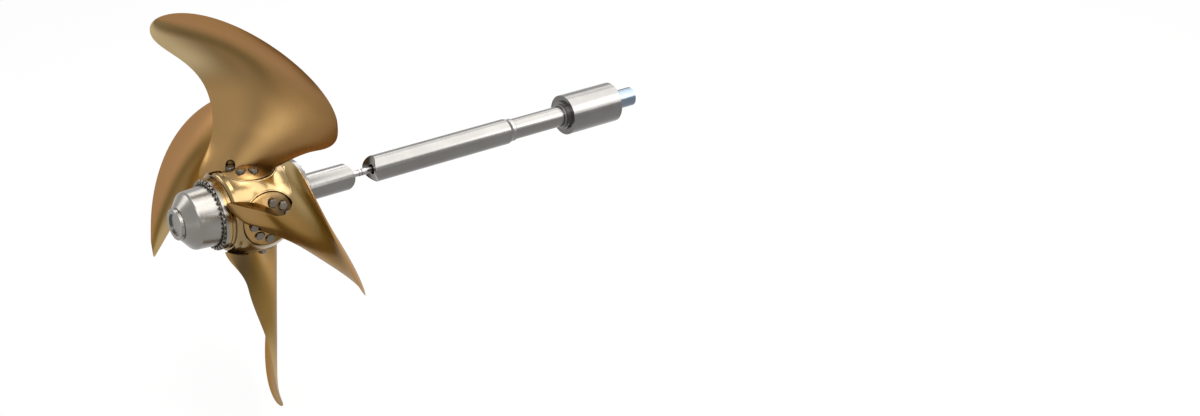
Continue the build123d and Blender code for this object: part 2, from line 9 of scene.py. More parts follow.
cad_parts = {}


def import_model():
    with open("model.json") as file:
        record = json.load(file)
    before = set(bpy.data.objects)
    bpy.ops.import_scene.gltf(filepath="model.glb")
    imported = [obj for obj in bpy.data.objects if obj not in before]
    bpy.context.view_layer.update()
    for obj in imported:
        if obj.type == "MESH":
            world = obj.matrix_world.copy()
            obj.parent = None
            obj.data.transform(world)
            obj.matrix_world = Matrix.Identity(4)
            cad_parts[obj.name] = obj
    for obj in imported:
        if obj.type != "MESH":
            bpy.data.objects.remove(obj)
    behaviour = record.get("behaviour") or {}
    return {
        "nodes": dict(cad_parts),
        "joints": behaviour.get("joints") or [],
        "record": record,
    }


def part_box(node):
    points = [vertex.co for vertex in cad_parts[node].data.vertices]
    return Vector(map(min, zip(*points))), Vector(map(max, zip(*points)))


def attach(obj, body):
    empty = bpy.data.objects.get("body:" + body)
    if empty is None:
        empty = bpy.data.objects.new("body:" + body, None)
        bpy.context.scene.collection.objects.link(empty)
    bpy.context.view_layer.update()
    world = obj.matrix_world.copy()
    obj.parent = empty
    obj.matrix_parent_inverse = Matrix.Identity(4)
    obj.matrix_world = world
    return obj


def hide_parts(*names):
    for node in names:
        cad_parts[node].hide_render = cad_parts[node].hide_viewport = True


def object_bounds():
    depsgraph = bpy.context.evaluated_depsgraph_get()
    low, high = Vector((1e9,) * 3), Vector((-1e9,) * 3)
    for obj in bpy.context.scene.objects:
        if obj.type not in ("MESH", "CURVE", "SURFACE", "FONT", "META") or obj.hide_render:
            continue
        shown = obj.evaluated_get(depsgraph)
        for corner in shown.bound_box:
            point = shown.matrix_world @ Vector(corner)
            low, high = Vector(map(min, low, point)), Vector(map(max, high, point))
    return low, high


# Ship's controllable pitch propeller on its shafting, dressed for the render.
# Metres, +X forward along the shaft, +Z up along the spindle of blade 1.

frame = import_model()
cad_low, cad_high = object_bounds()
nodes = frame["nodes"]

# Camera of the photograph
CAMERA_PLACE = (-12.265, -14.489, 7.902)
CAMERA_TURN_DEG = (63.742, -1.704, -38.493)
LENS_MM = 53.15
SENSOR_MM = 36.0
CAMERA_SEES_TO = 200.0

# Place of the hub's centre and of the blade spindles along the shaft, read from the frame
ring_low, ring_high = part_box("blade_bearing_ring_1")
HUB_X = (ring_low.x + ring_high.x) / 2

# Floor, just below the lowest blade
FLOOR_GAP = 0.12
FLOOR_Z = cad_low.z - FLOOR_GAP
FLOOR_HALF_WIDTH = 30.0

# Share of plain white in the floor as the camera and the mirroring metal see it
FLOOR_WHITENESS = 0.93


# Shader nodes

def linear(colour):
    """Linear values of an sRGB hex colour, as the shaders take them."""
    channels = [int(colour[i:i + 2], 16) / 255 for i in (1, 3, 5)]
    return tuple(c / 12.92 if c <= 0.04045 else ((c + 0.055) / 1.055) ** 2.4 for c in channels) + (1.0,)


def add(tree, kind, settings=None, sockets=None):
    """Adds a node. Each socket gets a link from another node's output, a hex colour or a plain constant."""
    made = tree.nodes.new(kind)
    for name, value in (settings or {}).items():
        setattr(made, name, value)
    for name, value in (sockets or {}).items():
        if isinstance(value, bpy.types.NodeSocket):
            tree.links.new(value, made.inputs[name])
        else:
            made.inputs[name].default_value = linear(value) if isinstance(value, str) else value
    return made


def new_material(name):
    """Empty material and its node tree."""
    material = bpy.data.materials.new(name)
    material.use_nodes = True
    material.node_tree.nodes.clear()
    return material, material.node_tree


def ramped(tree, *ramps):
    """Product of smooth ramps, each with its value, its low and high end, and what it gives at each end."""
    product = None
    for value, low, high, at_low, at_high in ramps:
        sockets = {"Value": value, "From Min": low, "From Max": high, "To Min": at_low, "To Max": at_high}
        ramp = add(tree, "ShaderNodeMapRange", {"interpolation_type": "SMOOTHSTEP"}, sockets).outputs[0]
        if product is not None:
            ramp = add(tree, "ShaderNodeMath", {"operation": "MULTIPLY"}, {0: product, 1: ramp}).outputs[0]
        product = ramp
    return product


def layered(tree, colour, *layers):
    """Colour with others laid over it in turn, each given with its strength."""
    for over, strength in layers:
        sockets = {0: strength, 6: colour, 7: over}
        colour = add(tree, "ShaderNodeMix", {"data_type": "RGBA"}, sockets).outputs[2]
    return colour


def off_from(tree, value, middle):
    """How far a value is from a middle one, to either side."""
    away = add(tree, "ShaderNodeMath", {"operation": "SUBTRACT"}, {0: value, 1: middle}).outputs[0]
    return add(tree, "ShaderNodeMath", {"operation": "ABSOLUTE"}, {0: away}).outputs[0]


def round_shaft(tree, place):
    """Place along the shaft axis and distance from it, as one vector."""
    along = add(tree, "ShaderNodeSeparateXYZ", None, {0: place}).outputs["X"]
    across = add(tree, "ShaderNodeVectorMath", {"operation": "MULTIPLY"}, {0: place, 1: (0, 1, 1)})
    distance = add(tree, "ShaderNodeVectorMath", {"operation": "LENGTH"}, {0: across.outputs[0]})
    both = add(tree, "ShaderNodeCombineXYZ", None, {"X": along, "Y": distance.outputs["Value"]})
    return both.outputs[0]


def surface(tree, sockets):
    """Shader with these sockets, joined to the material's output."""
    shader = add(tree, "ShaderNodeBsdfPrincipled", None, sockets)
    add(tree, "ShaderNodeOutputMaterial", None, {"Surface": shader.outputs[0]})


def metal_sockets(colour, roughness, bump, edge_tint, film):
    """Sockets of a bare metal, where film is the weight of the clear preserving oil on it."""
    return {
        "Base Color": colour, "Metallic": 1.0, "Roughness": roughness, "Normal": bump,
        "Specular Tint": edge_tint, "Coat Weight": film, "Coat Roughness": 0.12, "Coat IOR": 1.45,
    }


# Materials

def blade_bronze():
    """Nickel-aluminium bronze, sand cast, then ground and polished by hand.

    The blade's surface map gives the place along the chord, from 0 at the trailing edge to 1 at the
    leading edge, and the fraction of the propeller's radius. Reflections are painted into the colour
    along it: a leading part lighter than the trailing part, a copper tone along the outer leading
    edge, a darker band beside it that bends back at the tip, a paler outer trailing edge, and a bright
    area above the foot. Near the trailing edge the foot has painted light on the side that faces aft
    and painted shade on the side that faces forward. The strokes of the belt are about 1 mm wide, too
    fine to show at this distance, so they are drawn at 30 mm.
    """
    cloud_mm, stroke_mm = 500, 30
    material, tree = new_material("polished_nickel_aluminium_bronze")
    coordinates = add(tree, "ShaderNodeTexCoord").outputs
    place = coordinates["Object"]
    surface_map = add(tree, "ShaderNodeSeparateXYZ", None, {0: coordinates["UV"]}).outputs
    chord, reach = surface_map["X"], surface_map["Y"]
    facing = add(tree, "ShaderNodeSeparateXYZ", None, {0: coordinates["Normal"]}).outputs["X"]
    clouds = add(tree, "ShaderNodeTexNoise", None, {
        "Vector": place, "Scale": 1000 / cloud_mm, "Detail": 2.0,
    }).outputs[0]
    strokes = add(tree, "ShaderNodeTexNoise", None, {
        "Vector": place, "Scale": 1000 / stroke_mm, "Detail": 3.0,
    }).outputs[0]

    # The chord bent back at the tip shapes the painted copper reflection and the painted dark band beside
    # it
    back_at_tip = ramped(tree, (reach, 0.70, 1.02, 0.0, 0.35))
    bent = add(tree, "ShaderNodeMath", {"operation": "ADD"}, {0: chord, 1: back_at_tip}).outputs[0]
    outer = (reach, 0.60, 0.78, 0.0, 1.0)
    # Painted highlight: a bright area in the middle of the chord above the foot
    painted_highlight_mid_chord = (off_from(tree, chord, 0.56), 0.0, 0.22, 1.0, 0.0)
    painted_dark_band = (off_from(tree, bent, 0.50), 0.0, 0.15, 1.0, 0.0)
    # Painted light on the side that faces aft and painted shade on the side that faces forward, by the
    # direction of the surface
    aft = (facing, -0.3, 0.3, 1.0, 0.0)
    forward = (facing, -0.3, 0.3, 0.0, 1.0)
    # Apart from the clouds, which are the bronze's own random tone, these layers are painted reflections,
    # highlights and shade
    colour = layered(
        tree, "#776140",
        ("#8A6A40", ramped(tree, (chord, 0.2, 0.6, 0.0, 1.0))),
        ("#7A5C36", ramped(tree, (clouds, 0.4, 0.7, 0.0, 0.4))),
        ("#9C754C", ramped(tree, (bent, 0.56, 0.78, 0.0, 1.0), outer)),
        ("#B49F77", ramped(tree, (chord, 0.05, 0.32, 0.9, 0.0), outer)),
        ("#AE8B58", ramped(tree, painted_highlight_mid_chord, (reach, 0.48, 0.62, 0.9, 0.0))),
        ("#A88452", ramped(tree, aft, (chord, 0.20, 0.46, 0.6, 0.0), (reach, 0.56, 0.72, 1.0, 0.0))),
        ("#4A3B24", ramped(tree, forward, (chord, 0.15, 0.55, 0.9, 0.0), (reach, 0.32, 0.60, 1.0, 0.0))),
        ("#604C29", ramped(tree, painted_dark_band, (reach, 0.55, 0.72, 0.0, 0.7))),
    )
    roughness = ramped(tree, (strokes, 0.3, 0.7, 0.30, 0.34))
    bump = add(tree, "ShaderNodeBump", None, {"Strength": 0.02, "Distance": 0.001, "Height": strokes})
    surface(tree, metal_sockets(colour, roughness, bump.outputs[0], "#D6BF9A", 0.12))
    return material


def turned_metal(name, colour, shade, roughness, marks_mm, edge_tint="#FFFFFF", film=0.0):
    """Metal turned in a lathe about the shaft axis and then brought to its finish.

    Its tool marks run round the axis. Real marks are about 1 mm apart, too fine to show at this
    distance, so they are drawn at marks_mm.
    """
    cloud_mm = 250
    material, tree = new_material(name)
    place = add(tree, "ShaderNodeTexCoord").outputs["Object"]
    marks = add(tree, "ShaderNodeTexNoise", None, {
        "Vector": round_shaft(tree, place), "Scale": 1000 / marks_mm, "Detail": 2.0, "Roughness": 0.6,
    }).outputs[0]
    clouds = add(tree, "ShaderNodeTexNoise", None, {
        "Vector": place, "Scale": 1000 / cloud_mm, "Detail": 3.0,
    }).outputs[0]
    blended = layered(tree, colour, (shade, ramped(tree, (clouds, 0.35, 0.7, 0.0, 0.5))))
    rough = ramped(tree, (marks, 0.3, 0.7, roughness * 0.95, roughness * 1.05))
    bump = add(tree, "ShaderNodeBump", None, {"Strength": 0.006, "Distance": 0.0001, "Height": marks})
    surface(tree, metal_sockets(blended, rough, bump.outputs[0], edge_tint, film))
    return material


def bolt_steel():
    """Forged alloy steel bolts, black-oiled and rubbed bright in patches of some 20 mm."""
    patch_mm = 20
    material, tree = new_material("oiled_forged_steel")
    place = add(tree, "ShaderNodeTexCoord").outputs["Object"]
    patches = add(tree, "ShaderNodeTexNoise", None, {
        "Vector": place, "Scale": 1000 / patch_mm, "Detail": 3.0,
    }).outputs[0]
    colour = layered(tree, "#5E5952", ("#857F76", patches))
    rough = ramped(tree, (patches, 0.3, 0.7, 0.32, 0.48))
    surface(tree, {"Base Color": colour, "Metallic": 1.0, "Roughness": rough})
    return material


def cast_bronze():
    """Sand-cast skin of the bronze, left on the underside of the foot, with a grain of some 5 mm."""
    grain_mm = 5
    material, tree = new_material("as_cast_bronze")
    place = add(tree, "ShaderNodeTexCoord").outputs["Object"]
    grain = add(tree, "ShaderNodeTexNoise", None, {
        "Vector": place, "Scale": 1000 / grain_mm, "Detail": 3.0,
    }).outputs[0]
    colour = layered(tree, "#8A7044", ("#A08352", grain))
    rough = ramped(tree, (grain, 0.3, 0.7, 0.55, 0.7))
    bump = add(tree, "ShaderNodeBump", None, {"Strength": 0.3, "Distance": 0.0005, "Height": grain})
    surface(tree, {"Base Color": colour, "Metallic": 0.5, "Roughness": rough, "Normal": bump.outputs[0]})
    return material


def seal_rubber():
    """Moulded nitrile rubber of the seal between cap and hub, matt, with patches of some 10 mm."""
    patch_mm = 10
    material, tree = new_material("moulded_nitrile_rubber")
    place = add(tree, "ShaderNodeTexCoord").outputs["Object"]
    patches = add(tree, "ShaderNodeTexNoise", None, {"Vector": place, "Scale": 1000 / patch_mm}).outputs[0]
    colour = layered(tree, "#151515", ("#202020", patches))
    surface(tree, {"Base Color": colour, "Roughness": 0.6})
    return material


finishes = {
    "blade_bronze": blade_bronze(),
    "hub_bronze": turned_metal("turned_polished_bronze", "#866F44", "#795F38", 0.2, 14, "#DDD4C4", 0.8),
    "cover_bronze": turned_metal("turned_bronze_fittings", "#937C4E", "#846A40", 0.2, 12, "#DDD4C4", 0.6),
    "cap_steel": turned_metal("satin_turned_stainless_steel", "#85827D", "#76726C", 0.26, 16),
    "shaft_steel": turned_metal("ground_forged_steel", "#72706D", "#696664", 0.21, 20),
    "forward_shaft_steel": turned_metal("ground_shaft_steel_blued", "#6A7580", "#5F6A76", 0.2, 20),
    "coupling_steel": turned_metal("ground_coupling_steel", "#6E6C6A", "#656361", 0.21, 18),
    "ring_steel": turned_metal("turned_ring_steel", "#7B7977", "#6A6866", 0.3, 8),
    "bolt_steel": bolt_steel(),
    "pipe_steel": turned_metal("drawn_tube_steel", "#8A8886", "#757371", 0.26, 12),
    "dark_steel": turned_metal("machined_servo_steel", "#6E6C6A", "#5C5A58", 0.34, 8),
    "seal_rubber": seal_rubber(),
}


def dress_nodes():
    """Gives each node the finish of its material slot."""
    for part in frame["record"]["subparts"]:
        mesh = nodes[part["node"]].data
        mesh.materials.clear()
        mesh.materials.append(finishes[part["material_slot"]])


# Meshes

# Edges where the faces meet at a smaller angle than this are shaded smoothly
SMOOTH_UNDER_DEG = 35


def placed(name, data):
    """Object of a mesh, a camera or a lamp, in the scene."""
    piece = bpy.data.objects.new(name, data)
    bpy.context.scene.collection.objects.link(piece)
    return piece


def mesh_from(name, work, *materials):
    """Mesh of a finished work mesh, with its materials."""
    mesh = bpy.data.meshes.new(name)
    work.to_mesh(mesh)
    work.free()
    for material in materials:
        mesh.materials.append(material)
    return mesh


def smooth(mesh):
    """Shades a mesh smoothly, apart from its sharp edges."""
    for face in mesh.polygons:
        face.use_smooth = True
    mesh.set_sharp_from_angle(angle=math.radians(SMOOTH_UNDER_DEG))


def belt(work, low, high):
    """Faces between two rings of as many vertices, in their order round."""
    faces = []
    for i in range(len(low)):
        j = (i + 1) % len(low)
        faces.append(work.faces.new((low[i], low[j], high[j], high[i])))
    return faces


def close_end(work, ring, flip, finish):
    """Faces across a ring, each from one side of it to the other."""
    for i in range(len(ring) // 2):
        corners = list(dict.fromkeys((ring[i], ring[i + 1], ring[-i - 1], ring[-i])))
        work.faces.new(corners[::-1] if flip else corners).material_index = finish


def skin(work, rows, map_across=None, map_up=None, first_finish=0):
    """Closed surface through rows of points, each row a ring of the same number.

    With map_across, a value for each point round a row, and map_up, one for each row, it has a surface
    map. The faces that close the first row take the finish numbered first_finish.
    """
    surface_map = work.loops.layers.uv.verify() if map_across else None
    rings = [[work.verts.new(point) for point in row] for row in rows]
    for n, (low, high) in enumerate(zip(rings, rings[1:])):
        for i, face in enumerate(belt(work, low, high)):
            if map_across:
                j = (i + 1) % len(low)
                places = ((i, n), (j, n), (j, n + 1), (i, n + 1))
                for corner, (across, up) in zip(face.loops, places):
                    corner[surface_map].uv = (map_across[across], map_up[up])
    close_end(work, rings[0], True, first_finish)
    close_end(work, rings[-1], False, 0)


def mesh_object(name, rows_of_each, map_across=None, map_up=None, materials=()):
    """Object of one or more closed surfaces. With a second material, the first row is closed in it."""
    work = bmesh.new()
    for rows in rows_of_each:
        skin(work, rows, map_across, map_up, max(len(materials) - 1, 0))
    bmesh.ops.recalc_face_normals(work, faces=work.faces)
    return placed(name, mesh_from(name, work, *materials))


def cut(piece, cutter):
    """Applies the cut of one closed piece by another."""
    change = piece.modifiers.new("cut", "BOOLEAN")
    change.operation = "DIFFERENCE"
    change.solver = "EXACT"
    change.object = cutter
    shape = bpy.context.evaluated_depsgraph_get()
    result = bpy.data.meshes.new_from_object(piece.evaluated_get(shape))
    piece.modifiers.clear()
    piece.data = result


def turned_rows(profile, steps, x=0.0, y=0.0):
    """Round rows about an upright axis, one for each radius and height of a profile."""
    turns = [2 * math.pi * i / steps for i in range(steps)]
    return [
        [Vector((x + radius * math.cos(turn), y + radius * math.sin(turn), height)) for turn in turns]
        for radius, height in profile
    ]


# Fasteners

# Width over the flats and height of the head, which repeat those of the solids, and the washer face
CAP_BOLT = (0.036, 0.018, 0.002)
FLANGE_BOLT = (0.036, 0.020, 0.002)
PALM_BOLT = (0.080, 0.044, 0.004)

# Radius of the round washer face and of the round top, as a share of the flats
HEAD_ROUND_SHARE = 0.475
HEAD_CHAMFER_DEG = 30
HEAD_STEPS = 48
CORNER_TO_FLAT_DEG = 30

# Distances within which two vertices are one, and within which two are level
WELD_WITHIN = 0.00001
LEVEL_WITHIN = 0.0001


def solids_of(name):
    """Vertex places of each separate solid in a node."""
    work = bmesh.new()
    work.from_mesh(nodes[name].data)
    bmesh.ops.remove_doubles(work, verts=work.verts, dist=WELD_WITHIN)
    left = set(work.verts)
    solids = []
    for start in work.verts:
        if start not in left:
            continue
        left.discard(start)
        group, to_search = [start], [start]
        while to_search:
            vertex = to_search.pop()
            for edge in vertex.link_edges:
                other = edge.other_vert(vertex)
                if other in left:
                    left.discard(other)
                    group.append(other)
                    to_search.append(other)
        solids.append([vertex.co.copy() for vertex in group])
    work.free()
    return solids


def chamfered_head(flats, height, washer):
    """Rings of a hexagon head from its round washer face, over the six flats, to its round top.

    The chamfer leaves the top round and takes the most off at the corners. The first point of each
    ring is in the middle of a flat.
    """
    round_radius = flats * HEAD_ROUND_SHARE
    rings = [[], [], [], [], []]
    for i in range(HEAD_STEPS):
        turn = 2 * math.pi * i / HEAD_STEPS
        off_flat = (turn + math.pi / 6) % (math.pi / 3) - math.pi / 6
        reach = flats / 2 / math.cos(off_flat)
        drop = (reach - round_radius) * math.tan(math.radians(HEAD_CHAMFER_DEG))
        direction = Vector((math.cos(turn), math.sin(turn), 0))
        profile = (
            (round_radius, 0), (round_radius, washer), (reach, washer), (reach, height - drop),
            (round_radius, height),
        )
        for ring, (radius, rise) in zip(rings, profile):
            ring.append(direction * radius + Vector((0, 0, rise)))
    return rings


def bolt_heads(name, node_name, body, axis, size):
    """Replaces the plain hexagon heads of a node by chamfered ones in the same places."""
    flats, height, washer = size
    work = bmesh.new()
    for solid in solids_of(node_name):
        top_along = max(point.dot(axis) for point in solid)
        on_top = [point for point in solid if top_along - point.dot(axis) < LEVEL_WITHIN]
        middle = sum(on_top, Vector()) / len(on_top)
        corner = (on_top[0] - middle).normalized()
        turn = Matrix((corner, axis.cross(corner), axis)).transposed()
        turn = turn @ Matrix.Rotation(math.radians(CORNER_TO_FLAT_DEG), 3, "Z")
        base = middle - axis * height
        rings = [
            [work.verts.new(base + turn @ point) for point in ring]
            for ring in chamfered_head(flats, height, washer)
        ]
        for low, high in zip(rings, rings[1:]):
            belt(work, low, high)
        work.faces.new(rings[-1])
        work.faces.new(rings[0][::-1])
    piece = placed(name, mesh_from(name, work, finishes["bolt_steel"]))
    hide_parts(node_name)
    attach(piece, body)


def fasteners():
    """Bolt heads of the cap flange, the shaft flange and the four palms."""
    bolt_heads("cap_bolt_heads", "cap_bolts", "hub_and_shaft", Vector((-1, 0, 0)), CAP_BOLT)
    bolt_heads("flange_bolt_heads", "shaft_flange_bolts", "hub_and_shaft", Vector((1, 0, 0)), FLANGE_BOLT)
    spindles = [Vector(joint["axis"]) for joint in frame["joints"] if joint["name"].startswith("blade_")]
    for number, spindle in enumerate(spindles, 1):
        name, node_name = "palm_bolt_heads_%d" % number, "blade_bolts_%d" % number
        bolt_heads(name, node_name, "turning_blade_%d" % number, spindle, PALM_BOLT)


# Blades, whose values repeat those of the solids, in metres and degrees

PROPELLER_RADIUS = 2.015
BLADE_STATIONS = (0.22, 0.40, 0.58, 0.74, 0.88, 1.00)
BLADE_CHORDS = (0.690, 1.023, 1.412, 1.563, 1.640, 1.350)
BLADE_SKEWS = (-14.0, 8.4, 8.4, -2.5, -14.9, -31.5)
BLADE_RAKES = (-0.128, 0.123, 0.239, 0.135, -0.094, -0.320)
BLADE_PITCHES = (44.6, 40.2, 35.4, 28.4, 22.4, 13.7)
BLADE_THICKNESSES = (0.150, 0.106, 0.074, 0.048, 0.028, 0.014)
CAMBER_RATIO = 0.02
EDGE_ROUNDNESS = 0.8
TIP_ROUNDNESS = 9
PALM_RADIUS = 0.280
PALM_BALL = 0.487
PALM_BOTTOM = 0.330
PALM_BOLT_CIRCLE = 0.186
PALM_BOLT_SPREAD = 38.0
PORT_RADIUS = 0.288
POCKET_RADIUS = 0.050
POCKET_FLOOR = 0.427

# Steps across a section, up the foot and the blade, round the palm and over its top, round a pocket
SECTION_STEPS = 32
FOOT_STEPS = 14
BLADE_STEPS = 64
PALM_STEPS = 96
PALM_TOP_STEPS = 12
POCKET_STEPS = 48

# Rows that close over an axis stop at this radius
CENTRE_RADIUS = 0.010

# Foot of the blade: its trailing and leading corners in plan, how far it spreads on each side, and how
# much slimmer its leading part is
FOOT_TRAILING = (-0.400, 0.243)
FOOT_LEADING = (0.185, -0.195)
FOOT_HALF_WIDTH = 0.128
FOOT_ROUNDNESS = 0.7
FOOT_BOW = -0.030
FOOT_SLIMMER_FORWARD = 0.35
FOOT_SLIMMEST_FROM = 0.6

# Reach of the foot from the hub's centre: sunk in the palm, and clear of the hub from the port outwards
FOOT_SUNK_REACH = 0.470
FOOT_CLEAR_REACH = 0.513
FOOT_RISES_FROM = 0.236
FOOT_SLOPE_OUTSIDE = 0.294

# Fillet from the foot to the blade, between two fractions of the propeller's radius, and how far its
# curves are drawn inwards, upwards and down the blade, as shares of their length
FOOT_FRACTION = 0.26
FOOT_MERGES_AT = 0.41
FILLET_INWARD = 0.25
FILLET_UPWARD = 0.16
FILLET_DOWNWARD = 0.4

# Step along the radius that gives the blade's direction where the fillet merges
DIRECTION_STEP = 0.01

# Leading edge above the foot: how much fuller, the fraction of the radius where, how far around it,
# and the power by which it fades towards the trailing edge
LEADING_EDGE_FULLER = 0.045
FULLER_AT = 0.46
FULLER_WITHIN = 0.13
FULLER_FADE = 3

# Last row, just inside the tip, and how closely the rows stand towards it
TIP_FRACTION = 0.9994
TIP_CROWDING = 1.6

# Edge of the palm's top, and the arch that a pocket leaves in the blade's fillet
PALM_EDGE = 0.003
PALM_EDGE_RISE = 0.0005
POCKET_SIDE_TOP = 0.490
POCKET_ARCH_STEPS = 6
POCKET_ARCH_STEP_DEG = 14


def at_station(values, fraction):
    """Value at a fraction of the propeller radius, on the smooth curve through the stations."""
    total = 0.0
    for i, value in enumerate(values):
        weight = 1.0
        for j, other in enumerate(BLADE_STATIONS):
            if j != i:
                weight *= (fraction - other) / (BLADE_STATIONS[i] - other)
        total += value * weight
    return total


def chord_positions():
    """Positions round a section: out along one side and back along the other, closer at the edges."""
    cosines = [math.cos(math.pi * i / SECTION_STEPS) for i in range(SECTION_STEPS)]
    return [(-cosine, 1) for cosine in cosines] + [(cosine, -1) for cosine in cosines]


def section_row(fraction):
    """Points of the aerofoil section at one radius.

    Just above the foot the leading edge is a little fuller than that of the solids.
    """
    fuller = LEADING_EDGE_FULLER * max(1 - ((fraction - FULLER_AT) / FULLER_WITHIN) ** 2, 0) ** 2
    half_chord = at_station(BLADE_CHORDS, fraction) / 2 * math.sqrt(1 - fraction**TIP_ROUNDNESS)
    half_thickness = at_station(BLADE_THICKNESSES, fraction) / 2
    camber = CAMBER_RATIO * 2 * half_chord
    pitch = math.radians(at_station(BLADE_PITCHES, fraction))
    skew = math.radians(at_station(BLADE_SKEWS, fraction))
    rake = at_station(BLADE_RAKES, fraction)
    radius = fraction * PROPELLER_RADIUS
    row = []
    for position, side in chord_positions():
        inside = 1 - position**2
        along = position * half_chord + fuller * ((1 + position) / 2) ** FULLER_FADE
        across = side * half_thickness * inside**EDGE_ROUNDNESS + camber * inside
        x = rake + along * math.sin(pitch) + across * math.cos(pitch)
        turn = skew + (along * math.cos(pitch) - across * math.sin(pitch)) / radius
        row.append(Vector((x, -radius * math.sin(turn), radius * math.cos(turn))))
    return row


def foot_reach(distance):
    """Reach of the foot from the hub's centre, at a distance from the spindle's axis."""
    outside = FOOT_CLEAR_REACH + max(distance - PORT_RADIUS, 0) * FOOT_SLOPE_OUTSIDE
    share = min(max((distance - FOOT_RISES_FROM) / (PORT_RADIUS - FOOT_RISES_FROM), 0), 1)
    share = share * share * (3 - 2 * share)
    return FOOT_SUNK_REACH + (outside - FOOT_SUNK_REACH) * share


def foot_row():
    """Outline of the blade's foot on the ball of the hub."""
    trailing, leading = Vector(FOOT_TRAILING), Vector(FOOT_LEADING)
    middle, half = (trailing + leading) / 2, (leading - trailing) / 2
    forward = Vector((-half.y, half.x)).normalized()
    row = []
    for position, side in chord_positions():
        inside = 1 - position**2
        slim = 1 - FOOT_SLIMMER_FORWARD * min(max(position, 0) / FOOT_SLIMMEST_FROM, 1)
        spread = side * FOOT_HALF_WIDTH * slim * inside**FOOT_ROUNDNESS - FOOT_BOW * inside
        plan = middle + half * position + forward * spread
        reach = foot_reach(plan.length)
        row.append(Vector((plan.x, plan.y, math.sqrt(reach**2 - plan.length_squared))))
    return row


def on_curve(t, start, first, second, end):
    """Point on the curve from start to end that sets out towards first and comes in from second."""
    left = 1 - t
    return start * left**3 + first * (3 * t * left**2) + second * (3 * t * t * left) + end * t**3


def blade_rows():
    """Rows from the foot, through its wide fillet, to the tip, and the fraction of the radius of each."""
    merge, after = section_row(FOOT_MERGES_AT), section_row(FOOT_MERGES_AT + DIRECTION_STEP)
    curves = []
    for low, high, beyond in zip(foot_row(), merge, after):
        length = (high - low).length
        up = low.normalized()
        inward = high - low
        inward = (inward - up * inward.dot(up)) * FILLET_INWARD
        first = low + inward + up * length * FILLET_UPWARD
        second = high - (beyond - high).normalized() * length * FILLET_DOWNWARD
        curves.append((low, first, second, high))
    rows, fractions = [], []
    for step in range(FOOT_STEPS):
        share = step / FOOT_STEPS
        fractions.append(FOOT_FRACTION + (FOOT_MERGES_AT - FOOT_FRACTION) * share)
        rows.append([on_curve(share, *curve) for curve in curves])
    for step in range(BLADE_STEPS):
        left = 1 - step / (BLADE_STEPS - 1)
        fractions.append(FOOT_MERGES_AT + (TIP_FRACTION - FOOT_MERGES_AT) * (1 - left**TIP_CROWDING))
        rows.append(section_row(fractions[-1]))
    return rows, fractions


def palm_rows():
    """Rows of the round palm: its underside, side, edge chamfer and ball-shaped top."""
    top = math.sqrt(PALM_BALL**2 - PALM_RADIUS**2)
    inner = PALM_RADIUS - PALM_EDGE
    profile = [
        (CENTRE_RADIUS, PALM_BOTTOM), (PALM_RADIUS, PALM_BOTTOM),
        (PALM_RADIUS, top - PALM_EDGE), (inner, top + PALM_EDGE_RISE),
    ]
    for step in range(1, PALM_TOP_STEPS):
        share = step / PALM_TOP_STEPS
        radius = inner * (1 - share) + CENTRE_RADIUS * share
        profile.append((radius, math.sqrt(PALM_BALL**2 - radius**2)))
    return turned_rows(profile, PALM_STEPS)


def pocket_places():
    """Places of the six bolts about the spindle, three on each side of the blade's root."""
    root_angle = 90 - BLADE_PITCHES[0]
    places = []
    for side in (-90, 90):
        for i in (-1, 0, 1):
            angle = math.radians(root_angle + side + PALM_BOLT_SPREAD * i)
            places.append((PALM_BOLT_CIRCLE * math.cos(angle), -PALM_BOLT_CIRCLE * math.sin(angle)))
    return places


def pocket_rows(x, y):
    """Round-ended cutter that leaves a flat seat for the bolt and an arch in the blade's fillet."""
    profile = [
        (CENTRE_RADIUS, POCKET_FLOOR), (POCKET_RADIUS, POCKET_FLOOR), (POCKET_RADIUS, POCKET_SIDE_TOP),
    ]
    for step in range(1, POCKET_ARCH_STEPS + 1):
        angle = math.radians(POCKET_ARCH_STEP_DEG * step)
        rise = POCKET_RADIUS * math.sin(angle)
        profile.append((POCKET_RADIUS * math.cos(angle), POCKET_SIDE_TOP + rise))
    return turned_rows(profile, POCKET_STEPS, x, y)


def blades():
    """Blades with their palms, which take the place of the plainer solids."""
    pockets = mesh_object("pocket_cutter", [pocket_rows(x, y) for x, y in pocket_places()])
    rows, fractions = blade_rows()
    chord = [(position + 1) / 2 for position, side in chord_positions()]
    bronze = finishes["blade_bronze"]
    foil = mesh_object("blade_foil", [rows], chord, fractions, (bronze, cast_bronze()))
    palm = mesh_object("blade_palm", [palm_rows()], materials=(bronze,))
    for piece in (foil, palm):
        cut(piece, pockets)
    bpy.data.objects.remove(pockets)
    for number in (1, 2, 3, 4):
        spindle_angle = math.radians(90 * (number - 1))
        turn = Matrix.Translation((HUB_X, 0, 0)) @ Matrix.Rotation(spindle_angle, 4, "X")
        for source, name in ((foil, "blade_foil_%d" % number), (palm, "blade_palm_%d" % number)):
            mesh = source.data.copy()
            mesh.transform(turn)
            smooth(mesh)
            piece = placed(name, mesh)
            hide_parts("blade_%d" % number)
            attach(piece, "turning_blade_%d" % number)
    bpy.data.objects.remove(foil)
    bpy.data.objects.remove(palm)


# Lips of the ports

# Radii, height above the hub, rounding of the edges, and how deep the lip stands in the hub
LIP_INNER = 0.2885
LIP_OUTER = 0.300
LIP_HEIGHT = 0.004
LIP_EDGE = 0.002
LIP_SUNK = 0.006
LIP_STEPS = 128


